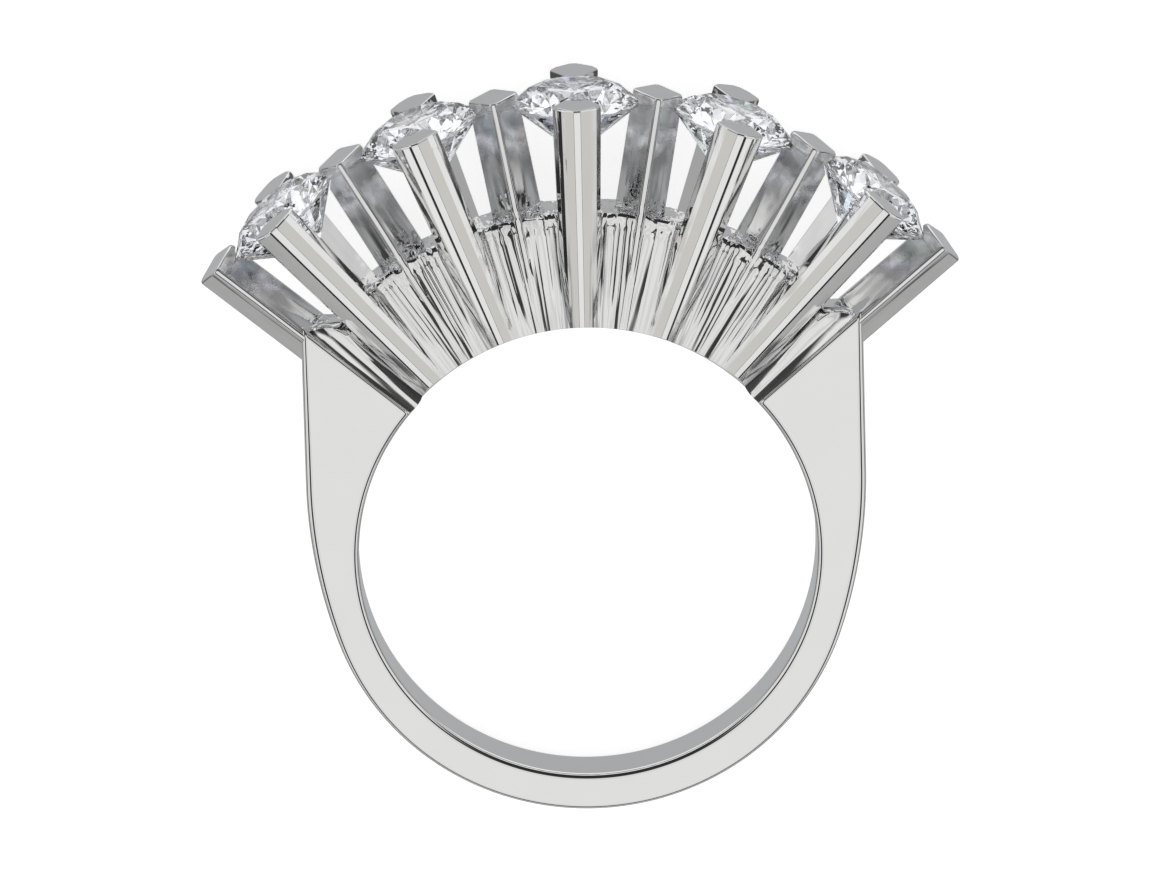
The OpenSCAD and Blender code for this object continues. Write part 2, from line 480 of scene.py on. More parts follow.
def hand_marks_and_painted_shade(place, colour, rough, height):
    """Traces of work by hand on the fan, and painted shade and painted dark reflections on it.

    Ripples run along the middle bars and the solder at their feet is crumpled; their metal is
    softer beside the stones, where painted shade darkens it. Painted dark reflections lie as grey
    stripes on the middle bars, fine lines at the prong bars' feet and dark patches on back tips.
    """
    radius, off_centre = place.radius, abs(place.bearing)
    off_middle = (place.bearing + math.radians(FAN_EDGE)).fold(math.radians(BAR_STEP))
    off_prong = off_centre.wrap(math.radians(PAIR_STEP))
    inside = 1 - 0.9 * off_centre.arc_step(49.8, 51.0)
    on_bar = inside * off_middle.arc_fall(4.4, 5.4)
    off_ridge = off_middle.arc_step(0.35, 0.6)

    ripples = place.rays(24.0, 0.3, 1.1, detail=0.4) * on_bar * radius.step(12.9, 13.8)
    solder = inside * off_middle.arc_fall(3.5, 8.0) * (1 - 0.9 * off_centre.arc_step(42, 45))
    solder = solder * radius.step(12.2, 12.7) * radius.fall(13.4, 14.0)
    crumple = place.clouds(2.8, detail=0.5) * solder
    height = height + ripples * RIPPLE_HEIGHT + crumple * CRUMPLE_HEIGHT

    # Painted shade: the middle bars' metal darkens in cloudy patches beside the stones.
    beside_stone = on_bar * radius.step(14.0, 15.6) * radius.fall(17.66, 17.72)
    shade = beside_stone * (0.1 + 0.6 * place.clouds(1.3).step(0.4, 0.62))
    # Painted dark reflections: grey streaks along the middle bars between the solder and the
    # stones, stronger on the outermost bars.
    painted_dark_streaks = place.rays(22.0, 0.28, 1.6).step(0.48, 0.6) * on_bar
    painted_dark_streaks = painted_dark_streaks * radius.step(12.6, 13.4) * radius.fall(14.6, 16.0)
    shade = shade.over(painted_dark_streaks * (0.5 + 0.4 * off_centre.arc_step(44, 46))) * off_ridge
    # Painted dark reflections: fine lines on the flanks beside the prong bars' feet.
    foot_flank = off_prong.arc_step(1.5, 2.2) * off_prong.arc_fall(4.4, 5.6)
    painted_fine_lines = place.rays(130.0, 0.5, 0.5).step(0.42, 0.58) * radius.fall(11.2, 13.4)
    shade = shade.over(0.85 * painted_fine_lines * foot_flank)
    # The painted shade and the painted dark reflections mix the metal towards grey.
    colour = mix_colours(place.bench, shade, colour, PAINTED_SHADE_GREY)

    # Painted dark reflections: near-black patches on the inner faces of the tips at the back.
    back_tips = place.forward.fall(-1.45, -1.3) * radius.step(16.5, 16.9) \
        * radius.fall(17.76, 17.8)
    painted_dark_spots = place.clouds(3.2).step(0.4, 0.5) * back_tips
    colour = mix_colours(place.bench, 0.9 * painted_dark_spots, colour, PAINTED_REFLECTION_BLACK)
    worn = 0.09 * radius.fall(9.0, 11.5)
    rough = rough + worn + 0.2 * beside_stone * off_ridge
    return colour, rough, height


def band_metal(finish):
    """Metal of the band's flat faces: nearly even."""
    return polished_metal("band_metal", finish, wave=0.0006, streak=0.00005)


def fan_metal(finish):
    """Metal of the bars and the web: softly wavy, with traces of work by hand, and with painted
    shade and painted dark reflections on the bars.
    """
    return polished_metal("fan_metal", finish, wave=0.012, streak=0.0012, marks=hand_marks_and_painted_shade)


def clear_stone(finish):
    """Colourless brilliant: polished facets with a trace of painted fire, a finely ground girdle.
    """
    material = bpy.data.materials.new("brilliant_stone")
    material.use_nodes = True
    bench = Bench(material.node_tree)
    # Painted fire: the facets' rainbow colour stands in for light split by the stone.
    tint = bench.add("ShaderNodeAttribute", {"attribute_name": "fire"}).out("Color")
    ground = bench.add("ShaderNodeAttribute", {"attribute_name": "ground"}).signal("Fac")
    colour = mix_colours(bench, finish.fire, rgba(finish.stone), tint)
    shader = bench.add("ShaderNodeBsdfPrincipled", None, {
        "Base Color": colour, "Roughness": ground * GROUND_ROUGHNESS, "IOR": DIAMOND_IOR,
        "Transmission Weight": 1.0})
    bench.add("ShaderNodeOutputMaterial", None, {"Surface": shader.out()})
    return material


# Band

# Height of the straight shoulders, and roundings of the hole's edge, of the shoulders'
# edges and of the edges below them, in millimetres.
SHOULDER_Y = 3.0
HOLE_EDGE, SHOULDER_EDGE, LOWER_EDGE = 0.27, 0.31, 0.18
# The band's ends: overlap with the outermost bars in degrees, rounding, distance from the
# hole's centre at which they show, and steps of the rounding.
END_OVERLAP, END_ROUND, END_R, END_STEPS = 0.15, 0.2, 11, 7
BAND_STEPS, BAND_EDGE_STEPS = 208, 9


def band_outer_radius(bearing, hole_r, sizes):
    """Outer radius of the band on a bearing from the fan: shoulder, side arc, lower arc."""
    foot_r = hole_r + sizes.bottom_wall / MM
    shoulder_x = sizes.shoulder_x / MM
    arc_r = ((foot_r ** 2 - shoulder_x ** 2) - SHOULDER_Y ** 2) / (2 * (foot_r - shoulder_x))
    arc_x = arc_r - shoulder_x
    b = math.radians(min(bearing, 360 - bearing))
    if b < math.atan2(shoulder_x, SHOULDER_Y):
        return shoulder_x / math.sin(b)
    if b < math.pi / 2 + math.atan2(SHOULDER_Y, arc_x):
        along = SHOULDER_Y * math.cos(b) - arc_x * math.sin(b)
        return along + math.sqrt(along ** 2 + arc_r ** 2 - arc_x ** 2 - SHOULDER_Y ** 2)
    return foot_r


def band_section(bearing, sizes, inset=0.0):
    """Section of the band: flat faces and rounded edges, wider ones at the shoulders."""
    hole_r, half = sizes.hole_radius / MM, sizes.band_depth / MM / 2 - inset
    outer = band_outer_radius(bearing, hole_r, sizes)
    below_shoulder = soft_step((min(bearing, 360 - bearing) - 85) / 60)
    edge = blend(SHOULDER_EDGE, LOWER_EDGE, below_shoulder)
    corners = [(hole_r, -half), (hole_r, half), (outer, half), (outer, -half)]
    outline = rounded_outline(corners, [HOLE_EDGE, HOLE_EDGE, edge, edge], BAND_EDGE_STEPS)
    return [fan_point(p.x, bearing, 0, p.y) for p in outline]


def build_band(sizes, material):
    """The band, its two ends hidden inside the fan's outermost bars."""
    first = FAN_EDGE - END_OVERLAP
    turn = (360 - 2 * first) / BAND_STEPS
    bearings = [(first + i * turn, 0.0) for i in range(BAND_STEPS + 1)]
    ends = []
    for k in range(1, END_STEPS + 1):
        t = math.radians(90 * k / END_STEPS)
        past = math.degrees(END_ROUND * math.sin(t) / END_R)
        ends.append((past, END_ROUND * (1 - math.cos(t))))
    bearings = ([(first - past, inset) for past, inset in reversed(ends)] + bearings
                + [(360 - first + past, inset) for past, inset in ends])
    points, faces = loft([band_section(b, sizes, inset) for b, inset in bearings])
    band = solid("band", points, faces)
    polish_shading(band, BAND_SHARP)
    put_in_place(band, "white_gold", material, "ring_body")


# Fan

# Flutes of the web: widths in degrees, columns across one flute from -1 to 1, and how
# much the height of a flute of common width varies.
FLUTE_WIDTHS = (0.75, 0.95, 1.2, 1.5, 2.0)
FLUTE_COLUMNS = (-1, -0.78, -0.4, 0, 0.4, 0.78)
FLUTE_HEIGHTS = (0.35, 1.25)
COMMON_FLUTE, NARROWEST_FLUTE, FLUTE_SEED = 1.3, 0.5, 11
# Half depth of the web at a middle bar and halfway to the next one, depth of the groove
# beside a prong bar, and height of the solder over a middle bar's ridge.
WEB_RISE, WEB_HOLLOW, PRONG_GROOVE, SOLDER_RISE = 1.11, 1.03, 0.14, 0.11
# Half depth beside an outermost bar, its two slopes away from that bar, and the flat
# place before the first slope.
OUTER_RISE, FIRST_SLOPE, SECOND_SLOPE, OUTER_FLAT = 1.13, 0.285, 0.41, 0.15
# Rows of the web outward to its lip: radius, how far the lip's rail stands out, and how far
# the lip rounds off where the web is smooth. Then the lip's radius, the one at which its
# sweep beside the outermost bars is measured, and the shares of the depth across its top.
WEB_ROWS = (
    (FOOT_R, 0, 0), (8.8, 0, 0), (9.4, 0, 0), (10.1, 0, 0), (10.9, 0, 0), (11.7, 0, 0),
    (12.35, 0, 0), (12.62, -0.02, 0), (12.72, 0.01, 0), (12.84, 0.04, 0), (12.98, 0.05, -0.01),
    (13.1, 0.02, -0.03), (13.19, -0.06, -0.1), (13.24, -0.2, -0.24))
LIP_R, SWEEP_R = 13.26, 13
LIP_SHARES = (0.85, 0.7, 0.5, 0.25)


def flute_columns():
    """Bearings across the web, each with its place in its flute and the flute's height."""
    luck = random.Random(FLUTE_SEED)
    columns, start = [], -FAN_EDGE
    while start < FAN_EDGE - NARROWEST_FLUTE:
        width = luck.choice(FLUTE_WIDTHS) * luck.uniform(0.85, 1.15)
        end = min(FAN_EDGE, start + width)
        if FAN_EDGE - end < NARROWEST_FLUTE:
            end = FAN_EDGE
        height = luck.uniform(*FLUTE_HEIGHTS) * (end - start) / COMMON_FLUTE
        columns += [(blend(start, end, (t + 1) / 2), t, height) for t in FLUTE_COLUMNS]
        start = end
    return columns + [(FAN_EDGE, 1, 0)]


def off_middle_bar(bearing):
    """Degrees from a bearing to the nearest middle bar."""
    past = (bearing + FAN_EDGE) % PAIR_STEP
    return min(past, PAIR_STEP - past)


def outermost(bearing):
    """1 between the outermost bars and their neighbours, where the web is smooth."""
    return soft_step((abs(bearing) - 42) / 1.5)


def web_half_depth(bearing, r):
    """Half depth of the web without its flutes: a low rise, and a groove at each prong.

    Solder covers the ridges of the middle bars in the lower half of the web.
    """
    off = off_middle_bar(bearing)
    solder = SOLDER_RISE * (1 - soft_step(off / 3.2)) * (1 - soft_step((r - 10.2) / 2.4))
    rise = blend(WEB_RISE, WEB_HOLLOW, soft_step(off / 9))
    groove = PRONG_GROOVE * soft_step((off - 5.9) / 1.8) * soft_step((r - 8.4) / 2.2)
    grooved = rise + solder - groove
    aside = math.radians(off) * r
    turn = blend(0.54, 1.0, soft_step((r - 8.6) / 3.8))
    turn += 0.12 * noise.noise(Vector((r * 0.9, bearing * 0.1, 2.0)))
    sloped = OUTER_RISE + 0.4 * solder \
        - FIRST_SLOPE * min(0.55 * turn, max(0.0, aside - OUTER_FLAT)) \
        - SECOND_SLOPE * max(0.0, aside - turn)
    return blend(grooved, sloped, outermost(bearing))


def web_column(bearing, place, height, side, sizes):
    """One column of web points from the finger hole to the lip on top."""
    column = []
    smooth = outermost(bearing)
    calm = 1 - 0.9 * smooth
    flute = sizes.flute_height / MM * height * (1 - place * place) * (1 - 0.8 * smooth)
    aside = math.radians(FAN_EDGE - abs(bearing)) * SWEEP_R
    sweep = smooth * (0.4 * (1 - soft_step((aside - 0.2) / 0.8))
                      - 0.35 * soft_step((aside - 0.6) / 0.7))
    solder = 1 - soft_step((off_middle_bar(bearing) - 1.2) / 3.5)
    for r, rail, round_off in WEB_ROWS:
        lip = blend(rail, round_off, smooth)
        fade = soft_step((r - 8.4) / 2.8) * (1 - 0.6 * soft_step((r - 12.7) / 0.4))
        top = soft_step((r - 12.3) / 0.4)
        seed = Vector((bearing * 0.55, r * 2.2, side * 5.0))
        rough = noise.noise(seed) * (0.02 + 0.05 * solder) * top * calm
        drift = noise.noise(Vector((bearing * 0.3, r * 0.35, side * 3.0))) * 0.014
        z = web_half_depth(bearing, r) + flute * fade + lip + rough + drift * fade
        lift = noise.noise(seed + Vector((3.7, 0, 1.9))) * (0.03 + 0.08 * solder) * top * calm
        lift += sweep * top
        column.append(fan_point(r + lift, bearing, 0, side * z))
    for share in LIP_SHARES:
        seed = Vector((bearing * 1.1, share * 7.0, side * 4.0 + 2.0))
        lift = noise.noise(seed) * (0.09 + 0.12 * solder) * calm + sweep
        column.append(fan_point(LIP_R + lift, bearing, 0, side * z * share))
    return column


def build_web(sizes):
    """Fluted web between the bars, a closed block before the finger hole is cut."""
    sections = []
    for bearing, place, height in flute_columns():
        front = web_column(bearing, place, height, 1, sizes)
        back = web_column(bearing, place, height, -1, sizes)
        sections.append(front + back[::-1])
    return solid("fan", *loft(sections))


# Bars

# Sizes of the bars in millimetres: steps of a tip's rounding and its deepest inset.
TIP_STEPS, DEEPEST_INSET = 7, 0.4
# Roundings of the tips at the ridge and behind it, and how much the first is stretched.
MIDDLE_TIP, PRONG_TIP = (0.07, 0.2, 1.3), (0.07, 0.1, 1.7)
# Section of a middle bar: half width and depth, half width of its blunted ridges and
# sides, the ridges' rounding, and how much wider than other edges the sides are rounded.
BAR_WIDE, BAR_DEEP, BLUNT_RIDGE, BLUNT_SIDE = 0.93, 1.21, 0.1, 0.12
RIDGE_ROUND, SIDE_WIDER = 0.19, 1.6
# Distance of a prong bar's ridge from the middle plane at its foot and tip, size of its
# foot beside its tip, and how much longer the prong bars at the back are.
PRONG_FOOT, PRONG_TIP_OUT, PRONG_FOOT_SCALE, BACK_EXTRA = 1.2, 3.52, 0.747, 0.1
FACET_ROUND, FLANK_ROUND = 0.1, 0.09
MIDDLE_ARC_STEPS, PRONG_ARC_STEPS = 6, 5


def bar_place(r, p):
    """Distance from the hole's centre, place across and place forward of an outline's point."""
    return (r, p.x, p.y)


def tip_rings(reach, outline_at, rounding):
    """Sections of a bar from its foot to a rounded tip, whose front rounds off slowly."""
    front_round, back_round, stretch = rounding
    sections = [[bar_place(FOOT_R, p) for p in outline_at(0.0)]]
    outline = outline_at(1.0)
    centre = sum(outline, Vector((0, 0))) / len(outline)
    low, high = min(p.y for p in outline), max(p.y for p in outline)
    for k in range(TIP_STEPS + 1):
        turn = math.radians(90 * k / TIP_STEPS)
        ring = []
        for p in outline:
            share = (high - p.y) / (high - low)
            front = 1 - soft_step(share * 1.6 - 0.3)
            size = blend(back_round, front_round, front)
            down = size * blend(1.0, stretch, front)
            away = p - centre
            inset = min(DEEPEST_INSET, size / away.length) * (1 - math.cos(turn))
            place = centre + away * (1 - inset)
            ring.append(bar_place(reach - down * (1 - math.sin(turn)), place))
        sections.append(ring)
    return sections


def turned(sections, bearing, side):
    """Sections set on a bearing, in front or mirrored behind."""
    return [[fan_point(r, bearing, u, side * z) for r, u, z in s] for s in sections]


def middle_bar(bearing, sizes):
    """Straight bar of blunted diamond section."""
    quarter = [(BLUNT_RIDGE, BAR_DEEP), (BAR_WIDE, BLUNT_SIDE)]
    corners = quarter + [(x, -z) for x, z in reversed(quarter)]
    corners += [(-x, -z) for x, z in quarter] + [(-x, z) for x, z in reversed(quarter)]
    side_round = sizes.edge_radius / MM * SIDE_WIDER
    radii = [RIDGE_ROUND, side_round, side_round, RIDGE_ROUND] * 2
    outline = rounded_outline(corners, radii, MIDDLE_ARC_STEPS)
    rings = tip_rings(sizes.middle_reach / MM, lambda share: outline, MIDDLE_TIP)
    return solid("middle_bar", *loft(turned(rings, bearing, 1)))


# Half sections of a prong bar's tip, each corner's place across and its depth behind the
# ridge: broad flanks on the side towards the middle of the fan, narrow steps on the other
# side, and a groove on the left of the middle one.
FLANK_BACK = ((0.91, 0.9), (0.32, 2.0))
BROAD_FLANK = ((0.13, 0.0), (0.52, 0.321), (0.74, 0.528)) + FLANK_BACK
STEPPED_FLANK = ((0.13, 0.0), (0.23, 0.043), (0.48, 0.25), (0.56, 0.325)) + FLANK_BACK
WIDE_STEP_FLANK = ((0.13, 0.0), (0.22, 0.038), (0.48, 0.25), (0.79, 0.56)) + FLANK_BACK
GROOVED_FLANK = ((0.13, 0.0), (0.45, 0.264), (0.58, 0.386), (0.74, 0.558)) + FLANK_BACK


def prong_outline(share, edge, bearing):
    """Section of a prong bar at its foot (0) or tip (1): ridge, flanks, inner face."""
    out = blend(PRONG_FOOT, PRONG_TIP_OUT, share)
    scale = blend(PRONG_FOOT_SCALE, 1.0, share)
    outer = STEPPED_FLANK if abs(bearing) < 30 else WIDE_STEP_FLANK
    right = outer if bearing > 0 else BROAD_FLANK
    left = BROAD_FLANK if bearing > 0 else outer if bearing < 0 else GROOVED_FLANK
    corners = [(x * scale, out - d * scale) for x, d in right]
    corners += [(-x * scale, out - d * scale) for x, d in reversed(left)]
    radii = [edge] + [FACET_ROUND] * (len(right) - 3) + [FLANK_ROUND, edge]
    radii += [edge, FLANK_ROUND] + [FACET_ROUND] * (len(left) - 3) + [edge]
    return rounded_outline(corners, radii, PRONG_ARC_STEPS)


def prong_bar(bearing, side, sizes):
    """Prong bar that leans out towards its tip."""
    edge = sizes.edge_radius / MM
    reach = sizes.prong_reach / MM + (BACK_EXTRA if side < 0 else 0.0)

    def outline_at(share):
        return prong_outline(share, edge, bearing)

    rings = tip_rings(reach, outline_at, PRONG_TIP)
    return solid("prong_bar", *loft(turned(rings, bearing, side)))


# Cuts and the whole fan

# Gap between a stone and its seat, and the radius at which a seat's ends close.
SEAT_GAP, AXIS_R = 0.03, 0.02
# Hole's edge: under the fan a long bevel, and beside the band the band's own rounding.
BEVEL_START, BEVEL_SLOPE = 0.45, 0.28
ROUND_START, ROUND_R = 0.97, 0.28
HOLE_SIDES, SEAT_SIDES = 240, 90
CUTTER_LEVELS = (0, BEVEL_START, ROUND_START, 1.04, 1.1, 1.16, 1.2, 1.235, 1.25, 2.0, 4.5)


def hole_radius_at(bearing, z, hole_r):
    """Radius of the hole's cutter, a little wider beyond the fan than the band's hole."""
    off, z = abs(bearing), abs(z)
    bevel = hole_r + BEVEL_SLOPE * max(0.0, z - BEVEL_START)
    past = min(max(0.0, z - ROUND_START), ROUND_R)
    edge = hole_r + ROUND_R - math.sqrt(ROUND_R ** 2 - past ** 2)
    hidden = 0.12 * soft_step((off - 49.9) / 0.6)
    return blend(bevel, edge, soft_step((off - 43) / 3)) + hidden


def hole_cutter(sizes):
    """Spool that cuts the finger hole and its edges out of the fan."""
    hole_r = sizes.hole_radius / MM
    levels = [-z for z in CUTTER_LEVELS[:0:-1]] + list(CUTTER_LEVELS)
    bearings = [-180 + 360 / HOLE_SIDES * i for i in range(HOLE_SIDES)]
    sections = [[fan_point(hole_radius_at(b, z, hole_r), b, 0, z) for b in bearings]
                for z in levels]
    return solid("hole_cutter", *loft(sections))


def stone_place(bearing, sizes):
    """Matrix that sets a stone's girdle on a bearing, its axis along it."""
    return (Matrix.Rotation(math.radians(-bearing), 4, "Z")
            @ Matrix.Translation((0, sizes.stone_height / MM, 0))
            @ Matrix.Rotation(math.radians(-90), 4, "X"))


def seat_cutter(bearing, sizes):
    """Turned shape of a stone's seat."""
    cut = StoneCut(sizes)
    slope = math.tan(math.radians(cut.PAVILION))
    top = cut.GIRDLE + SEAT_GAP
    bottom = -cut.GIRDLE - SEAT_GAP / math.cos(math.radians(cut.PAVILION))
    profile = [(AXIS_R, bottom - cut.culet_h), (cut.lower_r, bottom - cut.lower_h),
               (cut.r + SEAT_GAP, bottom + SEAT_GAP * slope),
               (cut.r + SEAT_GAP, top - SEAT_GAP / 2),
               (cut.star_r + SEAT_GAP, top + cut.star_h),
               (cut.table_r + SEAT_GAP, top + cut.crown_h), (AXIS_R, top + cut.crown_h)]
    place = stone_place(bearing, sizes)
    turns = [math.radians(360 / SEAT_SIDES * i) for i in range(SEAT_SIDES)]
    sections = [[place @ Vector((r * math.cos(t), r * math.sin(t), z)) for t in turns]
                for r, z in profile]
    return solid("seat_cutter", *loft(sections))


def build_fan(sizes, material):
    """Web and all bars as one solid, with the finger hole and the stones' seats cut."""
    fan = build_web(sizes)
    bars = [middle_bar(b, sizes) for b in MIDDLE_BEARINGS]
    bars += [prong_bar(b, side, sizes) for b in STONE_BEARINGS for side in (1, -1)]
    merge(fan, "UNION", bars)
    merge(fan, "DIFFERENCE",
          [hole_cutter(sizes)] + [seat_cutter(b, sizes) for b in STONE_BEARINGS])
    split_faces(fan)
    polish_shading(fan, FAN_SHARP)
    put_in_place(fan, "white_gold", material, "ring_body")


# Stones

# Painted fire: rainbow colours that stand in for light split by the stones.
PAINTED_FIRE_COLOURS = ((0.5, 0.35, 1.0, 1), (1.0, 0.62, 0.3, 1), (0.45, 0.72, 1.0, 1),
              (0.62, 1.0, 0.7, 1))
# Share of the pavilion's facets that take painted fire, the first seed, and the girdle's sides.
PAINTED_FIRE_SHARE, TINT_SEED, GIRDLE_SIDES = 0.2, 40, 96


class StoneCut:
    """Sizes of a round brilliant: angles in degrees, shares of its radius, millimetres."""
    CROWN, PAVILION = 34.0, 38.2
    TABLE, STAR, LOWER = 0.58, 0.52, 0.22
    GIRDLE = 0.07

    def __init__(self, sizes):
        self.r = r = sizes.stone_diameter / MM / 2
        half = math.cos(math.radians(22.5))
        crown, pavilion = math.tan(math.radians(self.CROWN)), math.tan(math.radians(self.PAVILION))
        self.table_r = r * self.TABLE
        self.crown_h = (r - self.table_r) * crown
        self.star_r = blend(self.table_r * half, r, self.STAR)
        self.star_h = (r - self.star_r * half) * crown
        self.lower_r = self.LOWER * r
        self.lower_h = (r - self.lower_r * half) * pavilion
        self.culet_h = r * pavilion

    def point(self, r, eighths, z):
        """Point at a number of eighth turns."""
        t = math.radians(45 * eighths)
        return Vector((r * math.cos(t), r * math.sin(t), z))

    def planes(self):
        """Point and outward normal of each facet's plane."""
        g, found = self.GIRDLE, []

        def facet(a, b, c):
            normal = (b - a).cross(c - a).normalized()
            found.append((a, normal if normal.dot(a) > 0 else -normal))

        found.append((Vector((0, 0, g + self.crown_h)), Vector((0, 0, 1))))
        for i in range(8):
            corner = self.point(self.table_r, i, g + self.crown_h)
            following = self.point(self.table_r, i + 1, g + self.crown_h)
            star = self.point(self.star_r, i + 0.5, g + self.star_h)
            last_star = self.point(self.star_r, i - 0.5, g + self.star_h)
            rim = [self.point(self.r, i + k / 2, g) for k in (0, 1, 2)]
            under = [self.point(self.r, i + k / 2, -g) for k in (0, 1, 2)]
            low = self.point(self.lower_r, i + 0.5, -g - self.lower_h)
            last_low = self.point(self.lower_r, i - 0.5, -g - self.lower_h)
            facet(corner, star, last_star)
            facet(corner, following, star)
            facet(star, rim[0], rim[1])
            facet(star, rim[1], rim[2])
            facet(under[0], under[1], low)
            facet(under[1], under[2], low)
            facet(under[0], low, last_low)
        return found


def paint_fire_and_mark_girdle(mesh, luck):
    """Paints rainbow fire, light split by the stone, on single pavilion facets; marks the ground
    girdle.
    """
    fire, ground = [], []
    for face in mesh.polygons:
        lit = face.normal.z < -0.05 and luck.random() < PAINTED_FIRE_SHARE
        fire += luck.choice(PAINTED_FIRE_COLOURS) if lit else WHITE
        ground.append(1.0 if abs(face.normal.z) < 0.05 else 0.0)
    mesh.attributes.new("fire", "FLOAT_COLOR", "FACE").data.foreach_set("color", fire)
    mesh.attributes.new("ground", "FLOAT", "FACE").data.foreach_set("value", ground)


def build_stone(index, sizes, material):
    """One brilliant: a fine-sided drum with every facet's plane cut off it."""
    cut = StoneCut(sizes)
    work = bmesh.new()
    bmesh.ops.create_cone(work, cap_ends=True, segments=GIRDLE_SIDES, radius1=cut.r,
                          radius2=cut.r, depth=2 * (cut.culet_h + 1))
    for place, normal in cut.planes():
        parts = work.verts[:] + work.edges[:] + work.faces[:]
        bmesh.ops.bisect_plane(work, geom=parts, dist=1e-5, plane_co=place,
                               plane_no=normal, clear_outer=True)
        bmesh.ops.holes_fill(work, edges=[e for e in work.edges if e.is_boundary])
    bmesh.ops.remove_doubles(work, verts=work.verts, dist=1e-4)
    bmesh.ops.recalc_face_normals(work, faces=work.faces)
    name = f"brilliant_{index + 1}"
    mesh = bpy.data.meshes.new(name)
    work.to_mesh(mesh)
    work.free()
    paint_fire_and_mark_girdle(mesh, random.Random(TINT_SEED + index))
    stone = bpy.data.objects.new(name, mesh)
    bpy.context.scene.collection.objects.link(stone)
    turn = Matrix.Rotation(math.radians(STONE_TURNS[index]), 4, "Z")
    mesh.transform(stone_place(STONE_BEARINGS[index], sizes) @ turn)
    mesh.shade_flat()
    put_in_place(stone, "diamond", material, f"stone_{index + 1}")


# Studio

# Camera, fitted to the photograph: it looks down on the ring's front from above the fan.
# Angles in degrees, distance from the hole's centre, focal length and picture centre in
# millimetres.
EYE_RISE, EYE_SIDE, EYE_ROLL = 15.5, -0.708, 1.575
EYE_DISTANCE, EYE_LENS = 500.0, 412.8
EYE_CENTRE = (-0.175, 4.162)


def build_camera():
    """Camera at the photograph's angle."""
    rise, aside, roll = (math.radians(a) for a in (EYE_RISE, EYE_SIDE, EYE_ROLL))
    towards = Vector((math.sin(aside) * math.cos(rise), math.sin(rise),
                      math.cos(aside) * math.cos(rise)))
    right = Vector((math.cos(aside), 0.0, -math.sin(aside)))
    upward = towards.cross(right)
    place = right * EYE_CENTRE[0] + upward * EYE_CENTRE[1] + towards * EYE_DISTANCE
    axis_x = right * math.cos(roll) - upward * math.sin(roll)
    axis_y = right * math.sin(roll) + upward * math.cos(roll)
    upright = Matrix((axis_x, axis_y, towards)).transposed().to_4x4()
    turn = Matrix.Rotation(REST_TILT, 4, "X")
    data = bpy.data.cameras.new("eye")
    data.lens, data.sensor_width, data.sensor_fit = EYE_LENS, 36.0, "HORIZONTAL"
    data.clip_start, data.clip_end = 0.05, 20.0
    camera = bpy.data.objects.new("eye", data)
    bpy.context.scene.collection.objects.link(camera)
    camera.matrix_world = Matrix.Translation(LAY_DOWN @ place) @ turn @ upright
    bpy.context.scene.camera = camera


# Rings of the round floor in metres, and its sides.
FLOOR_RINGS, FLOOR_SIDES = (0.05, 0.15, 0.5, 1.5, 4.0), 48


def build_floor(studio):
    """Plain pale floor."""
    points, faces = [Vector((0, 0, FLOOR_Z))], []
    for k, r in enumerate(FLOOR_RINGS):
        turns = [2 * math.pi * i / FLOOR_SIDES for i in range(FLOOR_SIDES)]
        points += [Vector((r * math.cos(t), r * math.sin(t), FLOOR_Z)) for t in turns]
        base = 1 + k * FLOOR_SIDES
        for i in range(FLOOR_SIDES):
            j = (i + 1) % FLOOR_SIDES
            inner = base - FLOOR_SIDES
            faces.append((0, base + i, base + j) if k == 0 else
                         (inner + i, base + i, base + j, inner + j))
    mesh = bpy.data.meshes.new("floor")
    mesh.from_pydata([tuple(p) for p in points], [], faces)
    floor = bpy.data.objects.new("floor", mesh)
    bpy.context.scene.collection.objects.link(floor)
    material = bpy.data.materials.new("pale_floor")
    material.use_nodes = True
    bench = Bench(material.node_tree)
    place = bench.add("ShaderNodeTexCoord").out("Object")
    grain = bench.add("ShaderNodeTexNoise", None,
                      {"Vector": place, "Scale": 60.0, "Detail": 3.0}).signal("Fac")
    colour = mix_colours(bench, grain, rgba(studio.floor),
                         rgba([0.97 * c for c in studio.floor]))
    shader = bench.add("ShaderNodeBsdfPrincipled", None, {
        "Base Color": colour, "Roughness": 0.9, "Specular IOR Level": 0.0,
        "Emission Color": WHITE, "Emission Strength": studio.glow})
    bench.add("ShaderNodeOutputMaterial", None, {"Surface": shader.out()})
    mesh.materials.append(material)
    floor.visible_glossy = False
    floor.visible_transmission = False


# Greys of the tent: behind the ring, in a warm strip, and in a dark one at the lower left.
COOL_GREY = (0.445, 0.453, 0.465, 1.0)
WARM_GREY = (0.665, 0.655, 0.625, 1.0)
STRIP_BLACK = (0.03, 0.03, 0.03, 1.0)
# Dark and white that the stones gather.
GATHERED = (0.03, 0.03, 0.035, 1.0), (1.24, 1.26, 1.32, 1.0)
# Ramps of the tent: angle from the key light in degrees, and grey there. The light stands
# where the flat front mirrors it to the camera, so a face that tilts by an angle shows
# twice that.
TENT_FRONT = (
    (0, 0.87), (9, 0.87), (14, 0.76), (20, 0.72), (26, 0.89), (31, 0.92), (35, 0.5),
    (38.5, 0.06), (54, 0.03), (59, 0.2))
TENT_SIDES = TENT_FRONT + (
    (62.5, 1.0), (73, 0.92), (76.5, 0.65), (82, 0.64), (84, 0.90), (95, 0.88), (97, 0.32),
    (103, 0.32), (105, 0.06), (110.5, 0.06), (112.5, 0.42), (135, COOL_GREY), (180, COOL_GREY))
TENT_LOW = TENT_FRONT + (
    (62, 0.95), (66, 0.9), (69, 0.08), (72, 0.08), (74.5, 0.95), (82, 0.9), (84, 0.06),
    (89, 0.06), (91, 0.44), (107, 0.44), (110, 0.08), (112, 0.08), (115, 0.44), (135, COOL_GREY),
    (180, COOL_GREY))
